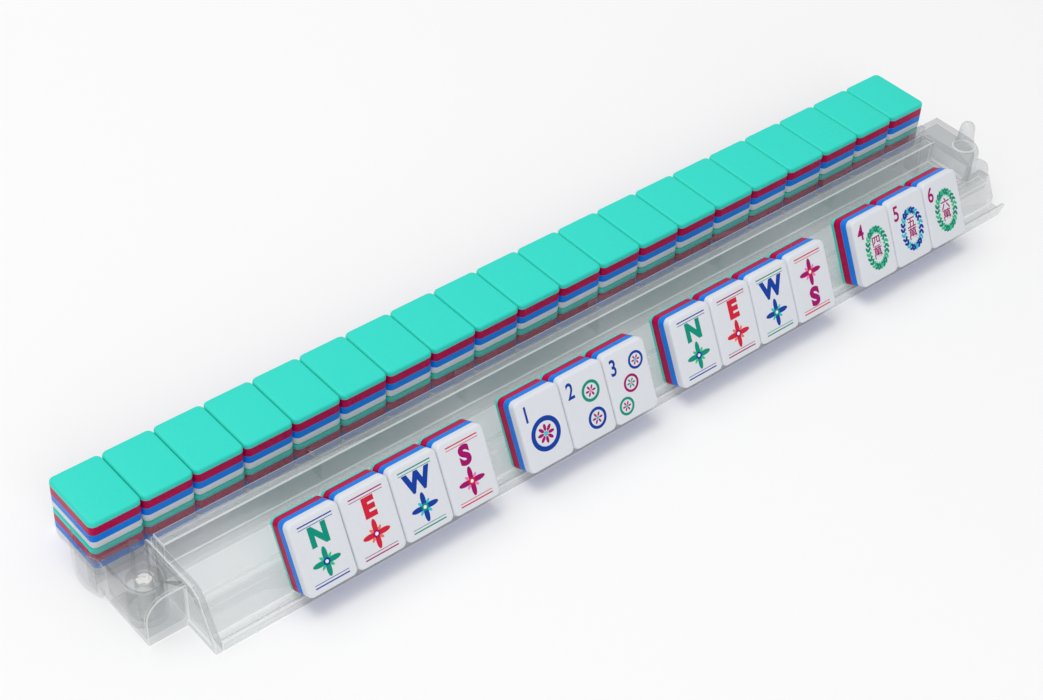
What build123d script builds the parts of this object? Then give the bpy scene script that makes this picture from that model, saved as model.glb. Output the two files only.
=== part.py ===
"""Mahjong rack with its swinging pusher, a hand of tiles leaning in the tray and a wall of stacked tiles.

Millimetres, +Z up.  +X runs along the rack to the player's right, +Y points away from the player.
The sub-parts are laid out from the left front foot of the tile wall: X = 0 is the left face of the
first stack, Y = 0 the front faces of the stacks and Z = 0 the table.  Each one is then moved so that
the origin is the middle of the whole set on the table.
"""
from build123d import *
import math
import os

# ---- tiles -------------------------------------------------------------------
TILE_WIDTH = 21.7
TILE_LENGTH = 30.0
TILE_THICKNESS = 13.2
TILE_CORNER_R = 2.4      # corners of the face, seen from above
TILE_EDGE_R = 1.1        # rounding between the faces and the sides
STACK_COUNT = 20
STACK_PITCH = 22.0
TILE_GAP = 0.2           # between a tile and what carries it

HAND_LEAN = 26.0         # degrees back from upright
HAND_PITCH = 21.95
HAND_GROUPS = ((49.6, 4), (152.2, 3), (231.4, 4), (335.8, 3))   # left face of the group, tiles in it
HAND_FOOT_Y = -51.0      # lower back edge of the leaning tiles
HAND_FOOT_Z = 3.0

# ---- rack section, seen from its end -----------------------------------------
SKIN = 2.0               # wall thickness of the moulding
LIP_FRONT_Y = -57.0
LIP_HEIGHT = 4.6
SHELF_Z = 14.4
BEAD_BACK_Y = -39.6      # back of the thick bead under the shelf's front edge
BEAD_DEPTH = 4.4
RAIL_FRONT_Y = -21.9
RAIL_BACK_Y = -14.6
RAIL_Z = 24.3
PANEL_RIM_R = 0.8        # rounding of the panel's upper edge
BODY_LEFT_X = 16.4
BODY_RIGHT_X = 422.8
TRAY_RIGHT_X = 435.6     # the tray runs on past the right end wall, as far back as the bead
LIP_END_CUT = 4.6        # slant across the lower corner of the lip's right end

# ---- rack ends ---------------------------------------------------------------
END_THICKNESS = 2.3
END_TOP_Z = 24.0
END_BACK_Y = -13.6
END_KINK_Y = -46.4
END_KINK_R = 8.0
END_CORNER_R = 3.0
END_RIM_WIDTH = 3.0      # raised border round the outer face of the left end wall
END_RIM_HEIGHT = 0.7
RIGHT_KINK_Y = -35.5     # the right end wall's top slopes down from here
RIGHT_WALL_FRONT_Y = -43.0
RIGHT_WALL_FRONT_Z = 20.4
LEFT_BRACKET_REACH = 16.8        # how far each bracket stands out from its end wall
RIGHT_BRACKET_REACH = 18.2
BRACKET_FRONT_Y = -39.4
BRACKET_WALL = 1.8
LEFT_BRACKET_HEIGHT = 20.6
RIGHT_BRACKET_HEIGHT = 20.0
LEFT_BRACKET_BACK_Y = -13.6
RIGHT_BRACKET_BACK_Y = -5.8
LEFT_PLATE_CORNER_R = 9.0        # upper outer corner of each bracket's front plate
RIGHT_PLATE_CORNER_R = 13.0
RIGHT_BRACKET_CORNER_R = 15.5    # front corner of the right bracket's top, seen from above
FLOOR_PLATE = 2.0

# ---- pivot, arm and peg ------------------------------------------------------
PIVOT_X = 4.7
PIVOT_Y = -27.0
PIN_R = 3.0
PIN_FIT = 0.05
PIN_TOP_Z = 19.4
BOSS_R = 6.4
ARM_END_R = 8.0
ARM_WALL = 1.4
ARM_BACK_WALL = 3.4
ARM_BOTTOM_Z = 2.4
ARM_TOP_Z = 20.0
ARM_BACK_Y = -9.4
ARM_WEB_TOP_Z = 4.4

PEG_X = 435.1
PEG_Y = -29.0
PEG_FLANGE_R = 5.4
PEG_FLANGE_THICKNESS = 1.0
PEG_FOOT_R = 4.8
PEG_WAIST_R = 3.7        # where the flared foot meets the slim upper part
PEG_WAIST_HEIGHT = 6.0
PEG_TOP_R = 3.4
PEG_HEIGHT = 13.9

# ---- pusher ------------------------------------------------------------------
PUSHER_BACK_Y = -0.4
PUSHER_THICKNESS = 2.6
PUSHER_HEIGHT = 14.3
PUSHER_RIGHT_X = 440.0
FOOT_FRONT_Y = -11.6
FOOT_THICKNESS = 2.0
FOOT_LEFT_X = 18.0
FOOT_RIGHT_X = 420.0
RIB_FIRST_X = 91.3
RIB_PITCH = 70.0
RIB_COUNT = 5
RIB_THICKNESS = 1.8
RIB_FRONT_Y = -10.4
RIB_FRONT_Z = 13.0
GUARD_THICKNESS = 1.4
GUARD_SLOPE = ((6.0, PUSHER_HEIGHT), (-3.0, 19.4))      # (y, z) ends of the rise from the upright to the arm
GUARD_POINTS = ((-1.4, 14.5), (-5.8, -1.3), (-3.5, -10.0))   # outer face, seen from above

# ---- origin: middle of the whole set, on the table ---------------------------
PUSHER_FRONT_Y = PUSHER_BACK_Y - PUSHER_THICKNESS
LEAN = math.radians(HAND_LEAN)
EDGE_RELIEF = TILE_EDGE_R * (math.sin(LEAN) + math.cos(LEAN) - 1)   # what the rounding takes off the reach
HAND_FRONT_Y = HAND_FOOT_Y - TILE_THICKNESS * math.cos(LEAN) + EDGE_RELIEF
RIGHT_REACH_X = BODY_RIGHT_X + END_THICKNESS + RIGHT_BRACKET_REACH
ORIGIN_X = (GUARD_POINTS[1][0] + RIGHT_REACH_X) / 2
ORIGIN_Y = (HAND_FRONT_Y + TILE_LENGTH) / 2
TO_ORIGIN = Location((-ORIGIN_X, -ORIGIN_Y, 0))


def block(x, y, z):
    """A box from its three (low, high) spans."""
    size = [high - low for low, high in (x, y, z)]
    centre = [(high + low) / 2 for low, high in (x, y, z)]
    return Pos(*centre) * Box(*size)


def along_x(points, x_low, x_high):
    """A prism along X with the given (y, z) outline."""
    outline = make_face(Polyline(*[(x_low, y, z) for y, z in points], close=True))
    return extrude(outline, amount=x_high - x_low, dir=(1, 0, 0))


def panel_y(z, depth=0.0):
    """Y of the leaning panel's front face at height z, or of the plane that lies depth behind it."""
    return HAND_FOOT_Y + (z - HAND_FOOT_Z) * math.tan(LEAN) + (TILE_GAP + depth) / math.cos(LEAN)


def tile():
    """One tile lying face down, with its left front lower corner at the origin."""
    body = Box(TILE_WIDTH, TILE_LENGTH, TILE_THICKNESS, align=(Align.MIN, Align.MIN, Align.MIN))
    body = fillet(body.edges().filter_by(Axis.Z), TILE_CORNER_R)
    rims = body.faces().filter_by(Axis.Z).edges()
    return fillet(rims, TILE_EDGE_R)


def hand_places():
    """Locations that stand the tile in the tray, leaning on the panel with its face to the player."""
    turn = Rot(X=90 - HAND_LEAN)
    return [Pos(start + index * HAND_PITCH, HAND_FOOT_Y, HAND_FOOT_Z) * turn
            for start, count in HAND_GROUPS for index in range(count)]


def wall_places(z):
    """Locations of one layer of the wall, whose tiles stand on height z."""
    left = (STACK_PITCH - TILE_WIDTH) / 2
    return [Pos(left + index * STACK_PITCH, 0, z) for index in range(STACK_COUNT)]


def rack_section():
    """Outline of the rack's skin: lip, tray floor, leaning panel, shelf with its bead and rail, open below."""
    floor_z = HAND_FOOT_Z - TILE_GAP
    bead_z = SHELF_Z - BEAD_DEPTH
    lip_back_y = LIP_FRONT_Y + SKIN
    over = [(LIP_FRONT_Y, 0), (LIP_FRONT_Y, LIP_HEIGHT), (lip_back_y, LIP_HEIGHT), (lip_back_y, floor_z),
            (panel_y(floor_z), floor_z), (panel_y(SHELF_Z), SHELF_Z), (RAIL_FRONT_Y, SHELF_Z),
            (RAIL_FRONT_Y, RAIL_Z), (RAIL_BACK_Y, RAIL_Z), (RAIL_BACK_Y, 0)]
    under = [(RAIL_BACK_Y - SKIN, 0), (RAIL_BACK_Y - SKIN, RAIL_Z - SKIN),
             (RAIL_FRONT_Y + SKIN, RAIL_Z - SKIN), (RAIL_FRONT_Y + SKIN, SHELF_Z - SKIN),
             (BEAD_BACK_Y, SHELF_Z - SKIN), (BEAD_BACK_Y, bead_z), (panel_y(bead_z, SKIN), bead_z),
             (panel_y(floor_z - SKIN, SKIN), floor_z - SKIN),
             (lip_back_y, floor_z - SKIN), (lip_back_y, 0)]
    return over + under


def rack_body():
    """The rack's long section, with the tray running on past the right end wall."""
    whole = along_x(rack_section(), BODY_LEFT_X, TRAY_RIGHT_X)
    behind_tray = block((BODY_RIGHT_X, TRAY_RIGHT_X), (BEAD_BACK_Y, 0), (0, RAIL_Z))
    slant = Plane.XZ * Polyline((TRAY_RIGHT_X - LIP_END_CUT, 0), (TRAY_RIGHT_X, 0), (TRAY_RIGHT_X, LIP_END_CUT),
                                close=True)
    lip_corner = extrude(make_face(slant), amount=-LIP_FRONT_Y + SKIN)
    body = whole - behind_tray - lip_corner
    rim = [edge for edge in body.edges().filter_by(Axis.X)
           if abs(edge.center().Z - SHELF_Z) < SKIN / 4 and edge.center().Y < BEAD_BACK_Y]
    return fillet(rim, PANEL_RIM_R)


def rack_end_left():
    """Left end wall, bordered by a rim, with the open bracket whose floor plate carries the pivot pin."""
    outer_x = BODY_LEFT_X - END_THICKNESS
    outline = [(LIP_FRONT_Y, 0), (LIP_FRONT_Y, LIP_HEIGHT), (END_KINK_Y, END_TOP_Z), (END_BACK_Y, END_TOP_Z),
               (END_BACK_Y, 0)]
    plate = along_x(outline, outer_x - END_RIM_HEIGHT, BODY_LEFT_X)
    kink = plate.edges().filter_by(Axis.X).group_by(Axis.Z)[-1].sort_by(Axis.Y)[0]
    plate = fillet(kink, END_KINK_R)
    back_corner = plate.edges().filter_by(Axis.X).group_by(Axis.Z)[-1].sort_by(Axis.Y)[-1]
    plate = fillet(back_corner, END_CORNER_R)
    border = offset(plate.faces().sort_by(Axis.X)[0], amount=-END_RIM_WIDTH)
    plate -= extrude(border, amount=END_RIM_HEIGHT, dir=(1, 0, 0))

    reach = (outer_x - LEFT_BRACKET_REACH, outer_x)
    floor = block(reach, (BRACKET_FRONT_Y, LEFT_BRACKET_BACK_Y), (0, FLOOR_PLATE))
    floor -= Pos(PIVOT_X, PIVOT_Y, FLOOR_PLATE / 2) * Cylinder(PIN_R, FLOOR_PLATE)
    front = block(reach, (BRACKET_FRONT_Y, BRACKET_FRONT_Y + BRACKET_WALL), (0, LEFT_BRACKET_HEIGHT))
    corner = front.edges().filter_by(Axis.Y).group_by(Axis.Z)[-1].sort_by(Axis.X)[0]
    front = fillet(corner, LEFT_PLATE_CORNER_R)
    return plate + floor + front


def rack_end_right():
    """Right end wall, behind the tray, with a closed-top bracket whose front plate mirrors the left one."""
    inner_x = BODY_RIGHT_X + END_THICKNESS
    outline = [(BEAD_BACK_Y, 0), (BEAD_BACK_Y, SHELF_Z), (RIGHT_WALL_FRONT_Y, SHELF_Z),
               (RIGHT_WALL_FRONT_Y, RIGHT_WALL_FRONT_Z), (RIGHT_KINK_Y, END_TOP_Z), (END_BACK_Y, END_TOP_Z),
               (END_BACK_Y, 0)]
    plate = along_x(outline, BODY_RIGHT_X, inner_x)
    back_corner = plate.edges().filter_by(Axis.X).group_by(Axis.Z)[-1].sort_by(Axis.Y)[-1]
    plate = fillet(back_corner, END_CORNER_R)

    reach = (inner_x, RIGHT_REACH_X)
    box = block(reach, (BRACKET_FRONT_Y, RIGHT_BRACKET_BACK_Y), (0, RIGHT_BRACKET_HEIGHT))
    corner = box.edges().filter_by(Axis.Z).sort_by(Axis.X)[-2:].sort_by(Axis.Y)[0]
    box = fillet(corner, RIGHT_BRACKET_CORNER_R)
    opening = box.faces().sort_by(Axis.Z)[0]
    bracket = offset(box, amount=-BRACKET_WALL, openings=opening)
    front = block(reach, (BRACKET_FRONT_Y, BRACKET_FRONT_Y + BRACKET_WALL), (0, RIGHT_BRACKET_HEIGHT))
    corner = front.edges().filter_by(Axis.Y).group_by(Axis.Z)[-1].sort_by(Axis.X)[-1]
    return plate + bracket + fillet(corner, RIGHT_PLATE_CORNER_R)


def pivot_pin():
    """Upright pin fixed in the left bracket's floor plate."""
    return Pos(PIVOT_X, PIVOT_Y, PIN_TOP_Z / 2) * Cylinder(PIN_R, PIN_TOP_Z)


def end_peg():
    """Round-topped peg with a flared foot on a low flange, standing on the right bracket."""
    foot_z = RIGHT_BRACKET_HEIGHT
    flange_z = foot_z + PEG_FLANGE_THICKNESS
    top_z = foot_z + PEG_HEIGHT
    dome_z = top_z - PEG_TOP_R
    half = Polyline((PEG_X, foot_z), (PEG_X + PEG_FLANGE_R, foot_z), (PEG_X + PEG_FLANGE_R, flange_z),
                    (PEG_X + PEG_FOOT_R, flange_z), (PEG_X + PEG_WAIST_R, foot_z + PEG_WAIST_HEIGHT),
                    (PEG_X + PEG_TOP_R, dome_z))
    dome = RadiusArc((PEG_X + PEG_TOP_R, dome_z), (PEG_X, top_z), -PEG_TOP_R)
    axis_line = Line((PEG_X, top_z), (PEG_X, foot_z))
    profile = Plane.XZ.offset(-PEG_Y) * make_face(half + dome + axis_line)
    return revolve(profile, Axis((PEG_X, PEG_Y, 0), (0, 0, 1)))


def pusher_guard():
    """Curved guard that closes the left end of the wall of tiles and rises towards the arm."""
    outer = ThreePointArc(*GUARD_POINTS)
    strip = offset(outer, amount=GUARD_THICKNESS, side=Side.LEFT)
    wall = extrude(make_face(strip), amount=ARM_TOP_Z)
    (low_y, low_z), (high_y, high_z) = GUARD_SLOPE
    above = [(TILE_LENGTH, low_z), (low_y, low_z), (high_y, high_z), (ARM_BACK_Y - ARM_END_R, high_z),
             (ARM_BACK_Y - ARM_END_R, ARM_TOP_Z), (TILE_LENGTH, ARM_TOP_Z)]
    return wall - along_x(above, -ARM_END_R, PIVOT_X)


def pusher_arm():
    """Hollow arm round the pivot: frame, boss with its bore and the web that joins them."""
    left_x = PIVOT_X - ARM_END_R
    right_x = PIVOT_X + ARM_END_R
    height = ARM_TOP_Z - ARM_BOTTOM_Z
    outline = (Pos((left_x + right_x) / 2, (ARM_BACK_Y + PIVOT_Y) / 2) *
               Rectangle(right_x - left_x, ARM_BACK_Y - PIVOT_Y))
    outline += Pos(PIVOT_X, PIVOT_Y) * Circle(ARM_END_R)
    hollow = offset(outline, amount=-ARM_WALL)
    hollow -= Pos(PIVOT_X, ARM_BACK_Y) * Rectangle(2 * ARM_END_R, 2 * ARM_BACK_WALL)
    boss = Pos(PIVOT_X, PIVOT_Y) * Circle(BOSS_R)
    bore = Pos(PIVOT_X, PIVOT_Y, ARM_TOP_Z / 2) * Cylinder(PIN_R + PIN_FIT, ARM_TOP_Z)
    frame = Pos(Z=ARM_BOTTOM_Z) * extrude(outline - hollow + boss, amount=height)
    web = Pos(Z=ARM_BOTTOM_Z) * extrude(outline, amount=ARM_WEB_TOP_Z - ARM_BOTTOM_Z)
    return frame + web - bore


def pusher_rib(x):
    """One gusset between the upright and the foot."""
    outline = [(PUSHER_FRONT_Y, 0), (PUSHER_FRONT_Y, PUSHER_HEIGHT), (RIB_FRONT_Y, RIB_FRONT_Z), (RIB_FRONT_Y, 0)]
    return along_x(outline, x - RIB_THICKNESS / 2, x + RIB_THICKNESS / 2)


def pusher():
    """The swinging pusher: upright, foot, ribs, guard and arm in one moulding."""
    left_x = PIVOT_X - ARM_END_R
    upright = block((left_x, PUSHER_RIGHT_X), (PUSHER_FRONT_Y, PUSHER_BACK_Y), (0, PUSHER_HEIGHT))
    foot = block((FOOT_LEFT_X, FOOT_RIGHT_X), (FOOT_FRONT_Y, PUSHER_FRONT_Y), (0, FOOT_THICKNESS))
    cheek_spans = ((left_x, left_x + ARM_WALL), (PIVOT_X + ARM_END_R - ARM_WALL, PIVOT_X + ARM_END_R))
    body = upright + foot + pusher_guard() + pusher_arm()
    for span in cheek_spans:
        body += block(span, (ARM_BACK_Y, PUSHER_FRONT_Y), (0, PUSHER_HEIGHT))
    for index in range(RIB_COUNT):
        body += pusher_rib(RIB_FIRST_X + index * RIB_PITCH)
    return body


def save(name, shape):
    """Write one node, moved to the set's own origin."""
    export_step(TO_ORIGIN * shape, os.path.join("parts", name + ".step"))


def main():
    os.makedirs("parts", exist_ok=True)
    save("rack_body", rack_body())
    save("rack_end_left", rack_end_left())
    save("rack_end_right", rack_end_right())
    save("pivot_pin", pivot_pin())
    save("end_peg", end_peg())
    save("pusher", pusher())
    one_tile = tile()
    upper_z = TILE_THICKNESS + TILE_GAP
    groups = {"hand_tile": hand_places(), "wall_lower": wall_places(0), "wall_upper": wall_places(upper_z)}
    for name, places in groups.items():
        for number, place in enumerate(places, start=1):
            save(f"{name}_{number:02d}", place * one_tile)


main()
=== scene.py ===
"""Clear mahjong rack with its swinging pusher, a hand of tiles in the tray and a wall of stacked tiles.

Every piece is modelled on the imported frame: metres, +X along the rack, +Y away from the player, +Z up.
"""

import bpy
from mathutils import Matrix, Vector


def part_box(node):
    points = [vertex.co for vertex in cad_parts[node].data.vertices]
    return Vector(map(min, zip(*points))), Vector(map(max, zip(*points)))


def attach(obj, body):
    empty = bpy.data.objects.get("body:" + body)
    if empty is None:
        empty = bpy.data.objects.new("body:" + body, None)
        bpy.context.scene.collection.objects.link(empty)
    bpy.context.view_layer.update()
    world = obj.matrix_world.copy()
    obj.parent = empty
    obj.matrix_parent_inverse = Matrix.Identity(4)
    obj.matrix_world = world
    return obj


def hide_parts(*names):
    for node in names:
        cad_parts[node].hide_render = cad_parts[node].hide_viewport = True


bl_info = {
    "name": "Mahjong Rack Set",
    "version": (1, 0, 0),
    "blender": (4, 5, 0),
    "location": "3D View > Sidebar > Mahjong",
    "description": "Models the rack, its pusher, the hand and the wall of tiles on the packed frame",
    "category": "Add Mesh",
}

import math

import bmesh
import bpy
from mathutils import Matrix, Vector

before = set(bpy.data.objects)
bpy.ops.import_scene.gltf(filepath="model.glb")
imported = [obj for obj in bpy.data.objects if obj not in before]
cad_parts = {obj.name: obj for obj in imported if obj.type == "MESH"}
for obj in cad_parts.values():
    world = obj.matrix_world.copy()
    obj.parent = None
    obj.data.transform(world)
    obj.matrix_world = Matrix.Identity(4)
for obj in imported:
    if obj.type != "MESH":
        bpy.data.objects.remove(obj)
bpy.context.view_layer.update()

MM = 0.001

# Tiles
TILE_LOW, TILE_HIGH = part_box("wall_lower_01")
TILE_SIZE = TILE_HIGH - TILE_LOW
HAND_COUNT = sum(name.startswith("hand_tile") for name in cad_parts)
STACK_COUNT = sum(name.startswith("wall_lower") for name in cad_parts)
HAND_LEAN = math.radians(26.0)          # how far the hand leans back from upright
UPSIDE_DOWN_TILE = 11                   # the tile of the hand that stands on its head
TILE_SMOOTH = math.radians(30)          # edges flatter than this are shaded smooth

# Prints, in millimetres on a tile's face
INK_BASE, INK_OVER, INK_TOP, INK_PIP = [share * 0.02 for share in (1, 1.5, 2, 2.5)]    # heights of the ink
BAND_LINE = 0.50                        # width of the outer line of a wind tile's band
NUMERAL_HEIGHT, NUMERAL_NARROW, NUMERAL_WEIGHT = 6.7, 0.78, 0.025
TYPE_PER_CAPITAL = 1.4                  # size of type for a capital of height 1
DISC_SIDES, LEAF_SIDES = 56, 20

# Clear plastic
ACRYLIC_IOR = 1.49
GRAZING_WALLS = 6                       # how many walls' worth of plastic light meets at a flat angle
SHADOW_WALLS = 1.5                      # the same for the light that makes the shadows
WELD = 0.002 * MM                       # closer points than this are one
FLAT_ANGLE = math.radians(0.8)          # faces that meet flatter than this are one
SHARP_ANGLE = math.radians(35)          # edges sharper than this are softened
MOULD_SMOOTH = math.radians(40)
SKIN_GAP = 0.03                         # millimetres by which glued skins keep apart, so none coincide
FACING_UP = 0.9                         # least upward part of a normal on the pin's cut end

# Stage, in metres
FADE_START, FADE_END = 0.75, 1.6        # from the middle, where the floor passes into the white room
OVERHEAD_PLACE, OVERHEAD_SIZE = (-0.35, 0.85, 2.3), 1.8
FRONT_PLACE, FRONT_SIZE = (-0.6, -1.4, 0.85), 1.2
CAMERA_PLACE = Vector((-445.24, -457.06, 559.61)) * MM
CAMERA_AZIMUTH, CAMERA_ELEVATION, CAMERA_ROLL = [math.radians(a) for a in (-42.001, 41.151, 3.134)]
CLEAR_CROSSINGS, BOUNCES = 48, 40       # enough for a line of sight through every clear wall


# ---- colours and nodes -------------------------------------------------------

def linear(hex_colour):
    """An sRGB hex colour as linear red, green and blue."""
    channels = [int(hex_colour[i:i + 2], 16) / 255 for i in (1, 3, 5)]
    return tuple(c / 12.92 if c <= 0.04045 else ((c + 0.055) / 1.055) ** 2.4 for c in channels)


def add(tree, kind, settings=None, inputs=None):
    """Adds a node with its own settings, and its inputs as values or as the sockets that feed them."""
    node = tree.nodes.new(kind)
    for key, value in (settings or {}).items():
        setattr(node, key, value)
    for key, value in (inputs or {}).items():
        if isinstance(value, bpy.types.NodeSocket):
            tree.links.new(value, node.inputs[key])
        else:
            node.inputs[key].default_value = value
    return node


def blank_material(name):
    """An empty node material and its tree."""
    material = bpy.data.materials.new(name)
    material.use_nodes = True
    material.node_tree.nodes.clear()
    return material, material.node_tree


def cast_resin(name, colour, roughness, grain_mm, grain_depth_mm):
    """Cast urea resin, cut into blanks and tumbled: an even body colour under a satin skin.

    Tumbling leaves a fine pebble in the skin and slow changes in its gloss from handling.
    """
    material, tree = blank_material(name)
    place = add(tree, "ShaderNodeTexCoord").outputs["Object"]
    pebble = add(tree, "ShaderNodeTexNoise", None,
                 {"Vector": place, "Scale": 1 / (grain_mm * MM), "Detail": 2.0, "Roughness": 0.55})
    handling = add(tree, "ShaderNodeTexNoise", None,
                   {"Vector": place, "Scale": 1 / (16 * MM), "Detail": 3.0, "Roughness": 0.6})
    gloss = add(tree, "ShaderNodeMapRange", None,
                {"Value": handling.outputs["Fac"], "From Min": 0.3, "From Max": 0.7,
                 "To Min": roughness * 0.85, "To Max": roughness * 1.2})
    shade = add(tree, "ShaderNodeMix", {"data_type": "RGBA"},
                {"Factor": pebble.outputs["Fac"],
                 "A": (*[0.94 * c for c in colour], 1), "B": (*[min(1, 1.05 * c) for c in colour], 1)})
    bump = add(tree, "ShaderNodeBump", None,
               {"Height": pebble.outputs["Fac"], "Strength": 0.35, "Distance": grain_depth_mm * MM})
    skin = add(tree, "ShaderNodeBsdfPrincipled", None,
               {"Base Color": shade.outputs["Result"], "Roughness": gloss.outputs["Result"],
                "Normal": bump.outputs["Normal"], "IOR": 1.54, "Specular IOR Level": 0.12})
    add(tree, "ShaderNodeOutputMaterial", None, {"Surface": skin.outputs["BSDF"]})
    return material


def printed_ink(name, colour):
    """Enamel ink, printed and cured on the face: denser than the resin, with a slightly uneven gloss."""
    material, tree = blank_material(name)
    place = add(tree, "ShaderNodeTexCoord").outputs["Object"]
    flow = add(tree, "ShaderNodeTexNoise", None,
               {"Vector": place, "Scale": 1 / (1.2 * MM), "Detail": 3.0, "Roughness": 0.5})
    gloss = add(tree, "ShaderNodeMapRange", None,
                {"Value": flow.outputs["Fac"], "From Min": 0.3, "From Max": 0.7,
                 "To Min": 0.28, "To Max": 0.42})
    density = add(tree, "ShaderNodeMix", {"data_type": "RGBA"},
                  {"Factor": flow.outputs["Fac"],
                   "A": (*[0.9 * c for c in colour], 1), "B": (*[min(1, 1.08 * c) for c in colour], 1)})
    skin = add(tree, "ShaderNodeBsdfPrincipled", None,
               {"Base Color": density.outputs["Result"], "Roughness": gloss.outputs["Result"], "IOR": 1.5,
                "Specular IOR Level": 0.15})
    add(tree, "ShaderNodeOutputMaterial", None, {"Surface": skin.outputs["BSDF"]})
    return material


def clear_acrylic(name, tint, haze, milk, veil):
    """Injection moulded acrylic: thin clear walls with a cold tint and a polished skin.

    Most of the light passes a thin wall straight on, unbent and a little greyer, more so the
    flatter it meets the wall.  The skin mirrors the surroundings, and fine wear scatters a milky
    veil of the lamps' light on top.  The rounded edges get a whiter, denser veil, a painted
    highlight for the light they catch.  Shadow light only passes.
    """
    material, tree = blank_material(name)
    place = add(tree, "ShaderNodeTexCoord").outputs["Object"]
    wear = add(tree, "ShaderNodeTexNoise", None,
               {"Vector": place, "Scale": 1 / (12 * MM), "Detail": 2.0})
    smears = add(tree, "ShaderNodeMapRange", None,
                 {"Value": wear.outputs["Fac"], "From Min": 0.35, "From Max": 0.75,
                  "To Min": haze * 0.4, "To Max": haze})
    slant = add(tree, "ShaderNodeLayerWeight", None, {"Blend": 0.3})
    depth = add(tree, "ShaderNodeMix", {"data_type": "RGBA"},
                {"Factor": slant.outputs["Facing"], "A": (*tint, 1),
                 "B": (*[c ** GRAZING_WALLS for c in tint], 1)})
    straight = add(tree, "ShaderNodeBsdfTransparent", None, {"Color": depth.outputs["Result"]})
    mirror = add(tree, "ShaderNodeBsdfGlossy", None,
                 {"Color": (1, 1, 1, 1), "Roughness": smears.outputs["Result"]})
    side = add(tree, "ShaderNodeNewGeometry")
    outside = add(tree, "ShaderNodeMath", {"operation": "SUBTRACT"},
                  {0: 1.0, 1: side.outputs["Backfacing"]})
    fresnel = add(tree, "ShaderNodeFresnel", None, {"IOR": ACRYLIC_IOR})
    gloss = add(tree, "ShaderNodeMath", {"operation": "MULTIPLY"},
                {0: fresnel.outputs["Fac"], 1: outside.outputs["Value"]})
    wall = add(tree, "ShaderNodeMixShader", None, {"Fac": gloss.outputs["Value"]})
    tree.links.new(straight.outputs["BSDF"], wall.inputs[1])
    tree.links.new(mirror.outputs["BSDF"], wall.inputs[2])
    scatter = add(tree, "ShaderNodeBsdfDiffuse", None, {"Color": (*milk, 1)})
    veiled = add(tree, "ShaderNodeMixShader", None, {"Fac": veil})
    tree.links.new(wall.outputs["Shader"], veiled.inputs[1])
    tree.links.new(scatter.outputs["BSDF"], veiled.inputs[2])
    passed = add(tree, "ShaderNodeBsdfTransparent", None, {"Color": (*[c ** SHADOW_WALLS for c in tint], 1)})
    path = add(tree, "ShaderNodeLightPath")
    surface = add(tree, "ShaderNodeMixShader", None, {"Fac": path.outputs["Is Shadow Ray"]})
    tree.links.new(veiled.outputs["Shader"], surface.inputs[1])
    tree.links.new(passed.outputs["BSDF"], surface.inputs[2])
    add(tree, "ShaderNodeOutputMaterial", None, {"Surface": surface.outputs["Shader"]})
    return material


def sawn_plastic(name, colour, dirt):
    """The pin's cut end: a rough, torn surface in pale plastic, with dirt caught in its pits."""
    material, tree = blank_material(name)
    place = add(tree, "ShaderNodeTexCoord").outputs["Object"]
    torn = add(tree, "ShaderNodeTexNoise", None,
               {"Vector": place, "Scale": 1 / (1.3 * MM), "Detail": 4.0, "Roughness": 0.65})
    pits = add(tree, "ShaderNodeMapRange", None,
               {"Value": torn.outputs["Fac"], "From Min": 0.52, "From Max": 0.68})
    shade = add(tree, "ShaderNodeMix", {"data_type": "RGBA"},
                {"Factor": pits.outputs["Result"], "A": (*colour, 1), "B": (*dirt, 1)})
    bump = add(tree, "ShaderNodeBump", None,
               {"Height": torn.outputs["Fac"], "Strength": 0.8, "Distance": 0.4 * MM})
    skin = add(tree, "ShaderNodeBsdfPrincipled", None,
               {"Base Color": shade.outputs["Result"], "Roughness": 0.5,
                "Normal": bump.outputs["Normal"]})
    add(tree, "ShaderNodeOutputMaterial", None, {"Surface": skin.outputs["BSDF"]})
    return material


def studio_paper(name, colour):
    """Matt seamless paper with a faint tooth.  Far from the set it fades into the white room."""
    material, tree = blank_material(name)
    place = add(tree, "ShaderNodeTexCoord").outputs["Object"]
    tooth = add(tree, "ShaderNodeTexNoise", None,
                {"Vector": place, "Scale": 1 / (3 * MM), "Detail": 2.0})
    bump = add(tree, "ShaderNodeBump", None,
               {"Height": tooth.outputs["Fac"], "Strength": 0.05, "Distance": 0.1 * MM})
    skin = add(tree, "ShaderNodeBsdfPrincipled", None,
               {"Base Color": (*colour, 1), "Roughness": 0.9, "Normal": bump.outputs["Normal"],
                "Specular IOR Level": 0.1})
    reach = add(tree, "ShaderNodeVectorMath", {"operation": "LENGTH"}, {0: place})
    fade = add(tree, "ShaderNodeMapRange", {"interpolation_type": "SMOOTHSTEP"},
               {"Value": reach.outputs["Value"], "From Min": FADE_START, "From Max": FADE_END})
    gone = add(tree, "ShaderNodeBsdfTransparent", None, {"Color": (1, 1, 1, 1)})
    surface = add(tree, "ShaderNodeMixShader", None, {"Fac": fade.outputs["Result"]})
    tree.links.new(skin.outputs["BSDF"], surface.inputs[1])
    tree.links.new(gone.outputs["BSDF"], surface.inputs[2])
    add(tree, "ShaderNodeOutputMaterial", None, {"Surface": surface.outputs["Shader"]})
    return material


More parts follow.
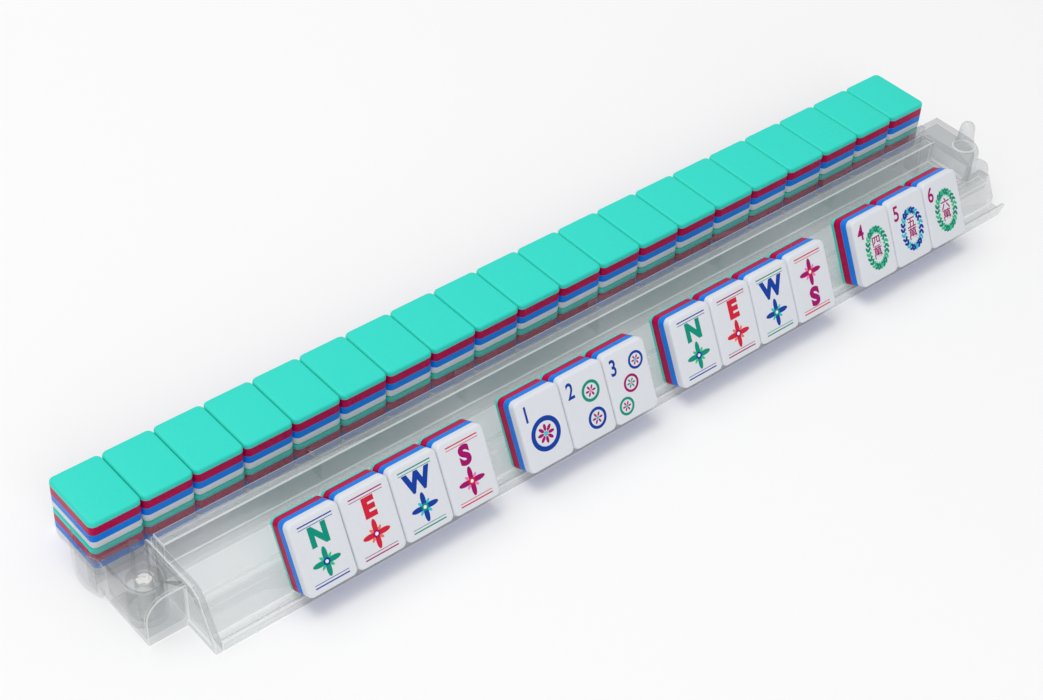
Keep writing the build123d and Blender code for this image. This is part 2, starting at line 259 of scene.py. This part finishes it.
def pale_surround(fill, gloss):
    """A white room: the camera sees it at 1, it lights the set by fill, and glossy rays see gloss."""
    world = bpy.data.worlds.new("pale_surround")
    world.use_nodes = True
    tree = world.node_tree
    tree.nodes.clear()
    path = add(tree, "ShaderNodeLightPath")
    lit = add(tree, "ShaderNodeMix", {"data_type": "FLOAT"},
              {"Factor": path.outputs["Is Glossy Ray"], "A": fill, "B": gloss})
    strength = add(tree, "ShaderNodeMix", {"data_type": "FLOAT"},
                   {"Factor": path.outputs["Is Camera Ray"], "A": lit.outputs["Result"], "B": 1.0})
    shine = add(tree, "ShaderNodeBackground", None,
                {"Color": (1, 1, 1, 1), "Strength": strength.outputs["Result"]})
    add(tree, "ShaderNodeOutputWorld", None, {"Surface": shine.outputs["Background"]})
    return world


# ---- modelling helpers -------------------------------------------------------

def deselect():
    """Nothing selected, in object mode."""
    if bpy.context.object and bpy.context.object.mode != "OBJECT":
        bpy.ops.object.mode_set(mode="OBJECT")
    bpy.ops.object.select_all(action="DESELECT")


def pick(obj):
    """Only this object selected and active."""
    deselect()
    obj.select_set(True)
    bpy.context.view_layer.objects.active = obj


def settle(obj):
    """Puts the object's place, turn and size into its mesh."""
    pick(obj)
    bpy.ops.object.transform_apply(location=True, rotation=True, scale=True)


def join(parts, name):
    """The parts as one object."""
    deselect()
    for part in parts:
        part.select_set(True)
    bpy.context.view_layer.objects.active = parts[0]
    if len(parts) > 1:
        bpy.ops.object.join()
    parts[0].name = name
    parts[0].data.name = name
    return parts[0]


def select_edges(obj, test):
    """Selects, in edit mode, the edges for which test(start, end) is true."""
    bpy.ops.object.mode_set(mode="EDIT")
    bpy.ops.mesh.select_mode(type="EDGE")
    bpy.ops.mesh.select_all(action="DESELECT")
    mesh = bmesh.from_edit_mesh(obj.data)
    for edge in mesh.edges:
        edge.select_set(test(edge.verts[0].co, edge.verts[1].co))
    bmesh.update_edit_mesh(obj.data)


def twin(obj, name, matrix):
    """A copy of the object with its own mesh, put in place through the mesh."""
    copy = obj.copy()
    copy.data = obj.data.copy()
    copy.name = name
    copy.data.name = name
    copy.data.transform(matrix)
    bpy.context.scene.collection.objects.link(copy)
    return copy


def discard(obj):
    """Removes a pattern piece once its copies are made."""
    bpy.data.objects.remove(obj, do_unlink=True)


# ---- tiles -------------------------------------------------------------------

def model_tile(sizes, resins):
    """One tile with its face up, centred on the origin: four layers of resin rounded as one block."""
    deselect()
    bpy.ops.mesh.primitive_cube_add(size=1)
    tile = bpy.context.object
    tile.scale = TILE_SIZE
    settle(tile)
    half = TILE_SIZE / 2
    near = 0.01 * MM                    # heights closer than this are the same

    def upright(a, b):
        return abs(a.z - b.z) > near

    select_edges(tile, upright)
    bpy.ops.mesh.bevel(offset=sizes.corner_radius, segments=7, profile=0.5, affect="EDGES")
    bpy.ops.object.mode_set(mode="OBJECT")

    def rim(a, b):
        level = abs(a.z - b.z) < near
        return level and abs(abs(a.z) - half.z) < near and abs(abs(b.z) - half.z) < near

    select_edges(tile, rim)
    bpy.ops.mesh.bevel(offset=sizes.rim_radius, segments=5, profile=0.5, affect="EDGES")
    cuts = [-half.z + sizes.back_layer]
    cuts.append(cuts[0] + sizes.second_layer)
    cuts.append(cuts[1] + sizes.third_layer)
    for z in cuts:
        bpy.ops.mesh.select_all(action="SELECT")
        bpy.ops.mesh.bisect(plane_co=(0, 0, z), plane_no=(0, 0, 1))
    bpy.ops.object.mode_set(mode="OBJECT")
    for resin in resins:
        tile.data.materials.append(resin)
    for face in tile.data.polygons:
        face.material_index = sum(face.center.z > z for z in cuts)
    pick(tile)
    bpy.ops.object.shade_smooth_by_angle(angle=TILE_SMOOTH)
    tile.name = "tile_pattern"
    return tile


def inked(obj, ink):
    """Settles a flat shape of the print and gives it its ink."""
    settle(obj)
    obj.data.materials.clear()
    obj.data.materials.append(ink)
    return obj


def disc(x, y, radius, ink, lift, hole=0.0):
    """A filled circle, or a ring with a hole, in millimetres on the tile's face."""
    deselect()
    bpy.ops.mesh.primitive_circle_add(vertices=DISC_SIDES, radius=radius * MM, fill_type="NGON",
                                      location=(x * MM, y * MM, lift * MM))
    shape = bpy.context.object
    if hole:
        bpy.ops.object.mode_set(mode="EDIT")
        bpy.ops.mesh.select_mode(type="FACE")
        bpy.ops.mesh.select_all(action="SELECT")
        bpy.ops.mesh.inset(thickness=(radius - hole) * MM)
        bpy.ops.mesh.delete(type="FACE")
        bpy.ops.object.mode_set(mode="OBJECT")
    return inked(shape, ink)


def leaf(x, y, length, width, angle, ink, lift):
    """A slim ellipse turned to an angle in degrees."""
    deselect()
    bpy.ops.mesh.primitive_circle_add(vertices=LEAF_SIDES, radius=0.5, fill_type="NGON",
                                      location=(x * MM, y * MM, lift * MM),
                                      rotation=(0, 0, math.radians(angle)))
    shape = bpy.context.object
    shape.scale = (length * MM, width * MM, 1)
    return inked(shape, ink)


def bar(start, end, width, ink, lift):
    """A straight stroke from start to end."""
    (x0, y0), (x1, y1) = start, end
    deselect()
    bpy.ops.mesh.primitive_plane_add(size=1,
                                     location=((x0 + x1) / 2 * MM, (y0 + y1) / 2 * MM, lift * MM),
                                     rotation=(0, 0, math.atan2(y1 - y0, x1 - x0)))
    shape = bpy.context.object
    shape.scale = (math.hypot(x1 - x0, y1 - y0) * MM, width * MM, 1)
    return inked(shape, ink)


def lettering(text, x, y, height, ink, lift, weight=0.0, narrow=1.0):
    """Plain type, centred on x and y, with weight as extra stroke width per unit of height."""
    deselect()
    bpy.ops.object.text_add(location=(x * MM, y * MM, lift * MM))
    shape = bpy.context.object
    shape.data.body = text
    shape.data.size = height * MM * TYPE_PER_CAPITAL
    shape.data.offset = weight * height * MM
    shape.data.align_x = "CENTER"
    shape.data.align_y = "CENTER"
    shape.data.resolution_u = 6
    shape.scale = (narrow, 1, 1)
    bpy.ops.object.convert(target="MESH")
    return inked(bpy.context.object, ink)


def star(x, y, reach, waist, ink, lift, turn=0.0):
    """A four-pointed compass star: four slim leaves that meet in its middle."""
    parts = []
    for quarter in range(4):
        angle = math.radians(turn + 90 * quarter)
        parts.append(leaf(x + 0.5 * reach * math.cos(angle), y + 0.5 * reach * math.sin(angle),
                          reach, waist, math.degrees(angle), ink, lift))
    return parts


def wind_print(letter, letter_ink, star_ink, band_ink, white):
    """A wind tile: its letter above a compass star, between two plain bands of two lines each."""
    star_y, hub, pip = -4.4, 1.5, 0.7
    band_reach, outer_y, inner_y = 7.4, 12.2, 11.0
    parts = [lettering(letter, 0, 6.0, 7.4, letter_ink, INK_BASE, weight=0.085)]
    parts += star(0, star_y, 3.6, 1.3, star_ink, INK_BASE, turn=45)
    parts += star(0, star_y, 6.0, 2.2, letter_ink, INK_OVER)
    parts.append(disc(0, star_y, hub, band_ink, INK_TOP))
    parts.append(disc(0, star_y, pip, white, INK_PIP))
    for side in (-1, 1):
        for y, width in ((side * outer_y, BAND_LINE), (side * inner_y, 0.5 * BAND_LINE)):
            parts.append(bar((-band_reach, y), (band_reach, y), width, band_ink, INK_BASE))
    return join(parts, "print_" + letter)


def dot(x, y, radius, ink, accent, bead, petals):
    """One dot, as on a plain set: a broad ring round a small flower with a bead in its middle."""
    hole, petal_reach, petal_length, petal_width, bead_radius = [
        share * radius for share in (0.72, 0.36, 0.42, 0.2, 0.14)]
    parts = [disc(x, y, radius, ink, INK_BASE, hole=hole)]
    for index in range(petals):
        angle = 2 * math.pi * index / petals
        parts.append(leaf(x + petal_reach * math.cos(angle), y + petal_reach * math.sin(angle),
                          petal_length, petal_width, math.degrees(angle), accent, INK_BASE))
    parts.append(disc(x, y, bead_radius, bead, INK_OVER))
    return parts


def numeral(number, x, y, ink):
    """The tile's number in its upper left corner."""
    return lettering(str(number), x, y, NUMERAL_HEIGHT, ink, INK_BASE, narrow=NUMERAL_NARROW,
                     weight=NUMERAL_WEIGHT)


def dots_print(number, dots, numeral_ink):
    """A dots tile: its numeral at the upper left and the dots beside and below it."""
    parts = [numeral(number, -6.7, 8.3, numeral_ink)]
    for place_and_inks in dots:
        parts += dot(*place_and_inks)
    return join(parts, f"print_dots_{number}")


def character_print(number, glyph, glyph_ink, garland_ink, leaf_ink):
    """A characters tile: numeral, two characters one above the other, and a garland round them."""
    centre_x, centre_y, reach_x, reach_y = 0.9, -0.8, 6.1, 9.0
    leaf_pairs, leaf_length, leaf_width, lean = 24, 2.5, 1.2, 32
    inner_row, berry_row, berry = -1.3, -2.3, 0.3
    parts = [numeral(number, -6.9, 8.6, glyph_ink)]
    for text, y in ((glyph, 1.8), ("萬", -3.3)):
        parts.append(lettering(text, centre_x, y, 3.9, glyph_ink, INK_OVER, weight=0.02))
    for index in range(leaf_pairs):
        angle = 2 * math.pi * (index + 0.5) / leaf_pairs
        c, s = math.cos(angle), math.sin(angle)
        along = math.degrees(math.atan2(reach_y * c, -reach_x * s))
        ink = leaf_ink if index % 3 == 0 else garland_ink
        for row, tilt in ((0.0, lean), (inner_row, -lean)):
            parts.append(leaf(centre_x + (reach_x + row) * c, centre_y + (reach_y + row) * s,
                              leaf_length, leaf_width, along + tilt, ink, INK_BASE))
        parts.append(disc(centre_x + (reach_x + berry_row) * c, centre_y + (reach_y + berry_row) * s,
                          berry, leaf_ink, INK_BASE))
    return join(parts, f"print_characters_{number}")


def hand_matrix(node, turned=False):
    """Stands a face-up tile in the tray at the node's place, leaning back with its face to the player."""
    low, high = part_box(node)
    c, s = math.cos(HAND_LEAN), math.sin(HAND_LEAN)
    lean = Matrix(((1, 0, 0, 0), (0, s, -c, 0), (0, c, s, 0), (0, 0, 0, 1)))
    turn = Matrix.Rotation(math.pi if turned else 0, 4, "Z")
    return Matrix.Translation((low + high) / 2) @ lean @ turn


def wall_matrix(node):
    """Lays a face-up tile face down at the node's place."""
    low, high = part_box(node)
    return Matrix.Translation((low + high) / 2) @ Matrix.Rotation(math.pi, 4, "Y")


def finish_piece(piece, body, slot, *nodes):
    """Rides the piece on its body and lets it stand for its nodes.  The slot is not used."""
    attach(piece, body)
    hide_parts(*nodes)
    return piece


# ---- clear mouldings ---------------------------------------------------------

def moulding(node, name, materials, edge_mm, gap_mm=0.0):
    """A moulding on a node's solid: merged, freed of its flat triangles, its edges softened.

    The first material covers it and the last one its softened edges.  Its skin is drawn in by gap_mm.
    """
    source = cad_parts[node]
    piece = bpy.data.objects.new(name, source.data.copy())
    piece.data.name = name
    bpy.context.scene.collection.objects.link(piece)
    piece.data.materials.clear()
    for material in materials:
        piece.data.materials.append(material)
    for face in piece.data.polygons:
        face.material_index = 0
    pick(piece)
    bpy.ops.object.mode_set(mode="EDIT")
    bpy.ops.mesh.select_all(action="SELECT")
    bpy.ops.mesh.remove_doubles(threshold=WELD)
    bpy.ops.mesh.dissolve_limited(angle_limit=FLAT_ANGLE)
    if gap_mm:
        bpy.ops.transform.shrink_fatten(value=-gap_mm * MM)
    bpy.ops.object.mode_set(mode="OBJECT")
    soften = piece.modifiers.new("soft_edges", "BEVEL")
    soften.width = edge_mm * MM
    soften.segments = 2
    soften.material = len(materials) - 1
    soften.limit_method = "ANGLE"
    soften.angle_limit = SHARP_ANGLE
    soften.use_clamp_overlap = True
    bpy.ops.object.modifier_apply(modifier=soften.name)
    bpy.ops.object.shade_smooth_by_angle(angle=MOULD_SMOOTH)
    return piece


# ---- settings ----------------------------------------------------------------

def length(name, description, millimetres):
    """A length that a user may change, given in millimetres."""
    return bpy.props.FloatProperty(name=name, description=description, default=millimetres * MM, min=0.0,
                                   unit="LENGTH", subtype="DISTANCE", precision=5)


def colour(name, description, hex_colour):
    """A colour that a user may change, given in sRGB hex."""
    return bpy.props.FloatVectorProperty(name=name, description=description, default=linear(hex_colour),
                                         size=3, min=0.0, max=1.0, subtype="COLOR")


def share(name, description, default):
    """A share from 0 to 1 that a user may change."""
    return bpy.props.FloatProperty(name=name, description=description, default=default, min=0.0, max=1.0,
                                   subtype="FACTOR")


def amount(name, description, default, unit="NONE"):
    """An amount of light or a lens that a user may change."""
    return bpy.props.FloatProperty(name=name, description=description, default=default, min=0.0, unit=unit)


class TileSettings(bpy.types.PropertyGroup):
    """Sizes and colours of the tiles."""
    corner_radius: length("Corner radius", "Rounding of the tile's corners, seen on its face", 2.5)
    rim_radius: length("Rim radius", "Rounding between the tile's faces and its sides", 1.15)
    back_layer: length("Back layer", "Thickness of the layer that shows when the tile lies face down", 2.2)
    second_layer: length("Second layer", "Thickness of the layer behind the back", 4.0)
    third_layer: length("Third layer", "Thickness of the layer behind the face", 3.35)
    back_colour: colour("Back", "Colour of the back layer", "#3ADFCD")
    second_colour: colour("Second", "Colour of the second layer", "#B8004C")
    third_colour: colour("Third", "Colour of the third layer", "#0C82EC")
    face_colour: colour("Face", "Colour of the face layer", "#E3E6EC")


class InkSettings(bpy.types.PropertyGroup):
    """Colours of the prints."""
    navy: colour("Navy", "Dark blue ink", "#0A3FA5")
    green: colour("Green", "Green ink", "#00967F")
    leaf: colour("Leaf", "Light green ink", "#39C98D")
    red: colour("Red", "Red ink", "#D8203A")
    coral: colour("Coral", "Light red ink", "#F27A68")
    magenta: colour("Magenta", "Magenta ink", "#A8006C")
    pink: colour("Pink", "Light magenta ink", "#EC86BE")
    cyan: colour("Cyan", "Light blue ink", "#3CC6D6")
    white: colour("White", "White ink", "#F6F6F6")


class RackSettings(bpy.types.PropertyGroup):
    """Finish of the clear mouldings."""
    tint: colour("Tint", "What a surface of the clear plastic lets through", "#FBFBFB")
    milk: colour("Milk", "Colour of the veil on the walls", "#D0D6D9")
    # painted highlight: the edges' veil colour is whiter than the walls', to stand for the light the
    # softened edges catch
    edge_milk: colour("Edge milk", "Colour of the veil on the rounded edges", "#F6F8F8")
    haze: share("Haze", "Roughness of the polished skin", 0.02)
    veil: share("Veil", "How milky the rack's walls are", 0.15)
    pusher_veil: share("Pusher veil", "How milky the pusher's walls are", 0.05)
    # painted highlight: the edges' veil is far denser than the walls'
    edge_veil: share("Edge veil", "How milky the rounded edges are", 0.55)
    edge: length("Edge", "Rounding of the mouldings' edges", 0.4)
    pin_colour: colour("Pin end", "Colour of the pin's cut end", "#E2E3E2")
    dirt_colour: colour("Pin dirt", "Colour of the dirt in the pin's cut end", "#6A5A44")


class StageSettings(bpy.types.PropertyGroup):
    """Camera, floor and lamps."""
    focal_length: amount("Focal length", "Lens, in millimetres", 71.606, "CAMERA")
    floor_colour: colour("Floor", "Colour of the paper floor", "#FAFAFA")
    fill: amount("Fill", "Strength of the light from all round", 0.53)
    gloss: amount("Gloss", "Strength of the room as glossy surfaces mirror it", 0.2)
    key_power: amount("Key", "Power of the large lamp overhead, in watts", 29.0, "POWER")
    front_power: amount("Front", "Power of the low lamp in front, in watts", 7.0, "POWER")


# ---- operators ---------------------------------------------------------------

def tile_resins(settings):
    """The four resins from the back layer to the face."""
    names = (("teal_urea_resin_tumbled", settings.back_colour),
             ("crimson_urea_resin_tumbled", settings.second_colour),
             ("blue_urea_resin_tumbled", settings.third_colour),
             ("white_urea_resin_tumbled", settings.face_colour))
    roughness, grain_mm, grain_depth_mm = 0.3, 0.55, 0.05
    return [bpy.data.materials.get(name) or cast_resin(name, value, roughness, grain_mm, grain_depth_mm)
            for name, value in names]


def inks(settings):
    """Each ink by its name."""
    found = {}
    for name in InkSettings.__annotations__:
        material = name + "_enamel_ink"
        found[name] = bpy.data.materials.get(material) or printed_ink(material, getattr(settings, name))
    return found


def hand_prints(ink):
    """One print for each tile of the hand, in order from the left, and the patterns they come from."""
    navy, green, leaf_ink, red = ink["navy"], ink["green"], ink["leaf"], ink["red"]
    coral, magenta, pink, cyan, white = ink["coral"], ink["magenta"], ink["pink"], ink["cyan"], ink["white"]
    north = wind_print("N", green, leaf_ink, navy, white)
    east = wind_print("E", red, coral, magenta, white)
    west = wind_print("W", navy, cyan, green, white)
    south = wind_print("S", magenta, pink, red, white)
    one = dots_print(1, [(0.0, -2.0, 7.0, navy, magenta, cyan, 8)], navy)
    two = dots_print(2, [(2.6, 4.8, 4.4, green, magenta, pink, 6),
                         (2.6, -6.8, 4.4, navy, magenta, cyan, 6)], navy)
    three = dots_print(3, [(4.6, 7.4, 3.7, navy, magenta, cyan, 6),
                           (0.0, -0.6, 3.7, magenta, green, pink, 6),
                           (-4.6, -8.6, 3.7, green, magenta, leaf_ink, 6)], navy)
    four = character_print(4, "四", magenta, green, leaf_ink)
    five = character_print(5, "五", magenta, navy, cyan)
    six = character_print(6, "六", magenta, green, leaf_ink)
    patterns = [north, east, west, south, one, two, three, four, five, six]
    order = [north, east, west, south, one, two, three, north, east, west, south, four, five, six]
    return order, patterns


class MAHJONG_OT_hand(bpy.types.Operator):
    """Model the hand: tiles with their prints, leaning in the tray"""
    bl_idname = "mahjong.hand"
    bl_label = "Hand of Tiles"

    def execute(self, context):
        sizes = context.scene.mahjong_tiles
        pattern = model_tile(sizes, tile_resins(sizes))
        order, prints = hand_prints(inks(context.scene.mahjong_inks))
        if len(order) != HAND_COUNT:
            raise RuntimeError(f"{len(order)} prints for {HAND_COUNT} tiles of the hand")
        face = Matrix.Translation((0, 0, TILE_SIZE.z / 2))
        for number, design in enumerate(order, start=1):
            node = f"hand_tile_{number:02d}"
            matrix = hand_matrix(node, turned=number == UPSIDE_DOWN_TILE)
            tile = twin(pattern, node + "_block", matrix)
            mark = twin(design, node + "_mark", matrix @ face)
            piece = join([tile, mark], "dressed_" + node)
            finish_piece(piece, "body_" + node, "tile", node)
        for used in prints + [pattern]:
            discard(used)
        return {"FINISHED"}


class MAHJONG_OT_wall(bpy.types.Operator):
    """Model the wall: two layers of tiles lying face down behind the pusher"""
    bl_idname = "mahjong.wall"
    bl_label = "Wall of Tiles"

    def execute(self, context):
        sizes = context.scene.mahjong_tiles
        pattern = model_tile(sizes, tile_resins(sizes))
        for layer in ("wall_lower", "wall_upper"):
            for number in range(1, STACK_COUNT + 1):
                node = f"{layer}_{number:02d}"
                piece = twin(pattern, "dressed_" + node, wall_matrix(node))
                finish_piece(piece, "body_" + node, "tile", node)
        discard(pattern)
        return {"FINISHED"}


def acrylic_of(piece, settings, veil):
    """The clear plastic of one piece, on its walls and, whiter as a painted highlight, on the edges that
    catch the light.
    """
    kinds = ((f"clear_acrylic_{piece}", settings.milk, veil),
             # the edge kind is a whiter, milkier copy of the plastic: a painted highlight along the softened
             # edges
             (f"clear_acrylic_{piece}_edge", settings.edge_milk, settings.edge_veil))
    return [bpy.data.materials.get(name) or clear_acrylic(name, settings.tint, settings.haze, milk, cover)
            for name, milk, cover in kinds]


class MAHJONG_OT_rack(bpy.types.Operator):
    """Model the rack: its long section, both ends, the peg and the pivot pin"""
    bl_idname = "mahjong.rack"
    bl_label = "Rack"

    def execute(self, context):
        settings = context.scene.mahjong_rack
        acrylic = acrylic_of("rack", settings, settings.veil)
        edge_mm = settings.edge / MM
        for node in ("rack_body", "rack_end_left", "rack_end_right", "end_peg"):
            piece = moulding(node, "clear_" + node, acrylic, edge_mm, gap_mm=SKIN_GAP)
            finish_piece(piece, "rack", "clear_plastic", node)
        # the pin is moulded wholly in the edges' whiter plastic, which on the pin is its own pale colour
        pin = moulding("pivot_pin", "clear_pivot_pin", acrylic[1:], edge_mm)
        pin.data.materials.append(sawn_plastic("sawn_plastic_pin_end", settings.pin_colour,
                                               settings.dirt_colour))
        for face in pin.data.polygons:
            if face.normal.z > FACING_UP:
                face.material_index = 1
        finish_piece(pin, "rack", "pin_plastic", "pivot_pin")
        return {"FINISHED"}


class MAHJONG_OT_pusher(bpy.types.Operator):
    """Model the pusher: upright, foot, ribs, guard and arm in one clear moulding"""
    bl_idname = "mahjong.pusher"
    bl_label = "Pusher"

    def execute(self, context):
        settings = context.scene.mahjong_rack
        acrylic = acrylic_of("pusher", settings, settings.pusher_veil)
        piece = moulding("pusher", "clear_pusher", acrylic, settings.edge / MM)
        finish_piece(piece, "pusher", "clear_plastic", "pusher")
        return {"FINISHED"}


def soft_lamp(name, place, size, power):
    """A square area lamp at place that shines on the middle of the set."""
    data = bpy.data.lights.new(name, "AREA")
    data.shape = "SQUARE"
    data.size = size
    data.energy = power
    lamp = bpy.data.objects.new(name, data)
    lamp.location = place
    lamp.rotation_euler = (-Vector(place)).to_track_quat("-Z", "Y").to_euler()
    bpy.context.scene.collection.objects.link(lamp)
    return lamp


class MAHJONG_OT_stage(bpy.types.Operator):
    """Set the stage: paper floor, soft lamps, pale surround and the camera"""
    bl_idname = "mahjong.stage"
    bl_label = "Stage"

    def execute(self, context):
        settings = context.scene.mahjong_stage
        deselect()
        bpy.ops.mesh.primitive_plane_add(size=2.1 * FADE_END)
        floor = context.object
        floor.name = "paper_floor"
        floor.data.materials.append(studio_paper("matt_studio_paper", settings.floor_colour))

        context.scene.world = pale_surround(settings.fill, settings.gloss)
        soft_lamp("overhead_softbox", OVERHEAD_PLACE, OVERHEAD_SIZE, settings.key_power)
        soft_lamp("front_softbox", FRONT_PLACE, FRONT_SIZE, settings.front_power)

        camera_data = bpy.data.cameras.new("studio_camera")
        camera_data.sensor_width = 36.0
        camera_data.lens = settings.focal_length
        camera = bpy.data.objects.new("studio_camera", camera_data)
        turn = Matrix.Rotation(CAMERA_AZIMUTH, 4, "Z")
        turn = turn @ Matrix.Rotation(math.pi / 2 - CAMERA_ELEVATION, 4, "X")
        turn = turn @ Matrix.Rotation(CAMERA_ROLL, 4, "Z")
        camera.matrix_world = Matrix.Translation(CAMERA_PLACE) @ turn
        context.scene.collection.objects.link(camera)
        context.scene.camera = camera
        context.scene.view_settings.view_transform = "Standard"
        context.scene.cycles.transparent_max_bounces = CLEAR_CROSSINGS
        context.scene.cycles.max_bounces = BOUNCES
        context.scene.cycles.transmission_bounces = BOUNCES
        context.scene.cycles.glossy_bounces = BOUNCES
        return {"FINISHED"}


class MAHJONG_PT_panel(bpy.types.Panel):
    """Lists the pieces of the set"""
    bl_idname = "MAHJONG_PT_panel"
    bl_label = "Mahjong Rack Set"
    bl_space_type = "VIEW_3D"
    bl_region_type = "UI"
    bl_category = "Mahjong"

    def draw(self, context):
        layout = self.layout
        for operator in OPERATORS:
            layout.operator(operator.bl_idname)
        for group in (context.scene.mahjong_tiles, context.scene.mahjong_inks, context.scene.mahjong_rack,
                      context.scene.mahjong_stage):
            box = layout.box()
            for name in group.__annotations__:
                box.prop(group, name)


GROUPS = {"mahjong_tiles": TileSettings, "mahjong_inks": InkSettings, "mahjong_rack": RackSettings,
          "mahjong_stage": StageSettings}
OPERATORS = (MAHJONG_OT_stage, MAHJONG_OT_wall, MAHJONG_OT_hand, MAHJONG_OT_rack, MAHJONG_OT_pusher)


def register():
    """Adds the settings, the operators and the panel to Blender."""
    for name, group in GROUPS.items():
        bpy.utils.register_class(group)
        setattr(bpy.types.Scene, name, bpy.props.PointerProperty(type=group))
    for operator in OPERATORS:
        bpy.utils.register_class(operator)
    bpy.utils.register_class(MAHJONG_PT_panel)


def unregister():
    """Takes them out again."""
    bpy.utils.unregister_class(MAHJONG_PT_panel)
    for operator in reversed(OPERATORS):
        bpy.utils.unregister_class(operator)
    for name, group in GROUPS.items():
        delattr(bpy.types.Scene, name)
        bpy.utils.unregister_class(group)


def main():
    """Models the whole set."""
    register()
    bpy.ops.mahjong.stage()
    bpy.ops.mahjong.wall()
    bpy.ops.mahjong.hand()
    bpy.ops.mahjong.rack()
    bpy.ops.mahjong.pusher()


if __name__ == "__main__":
    main()
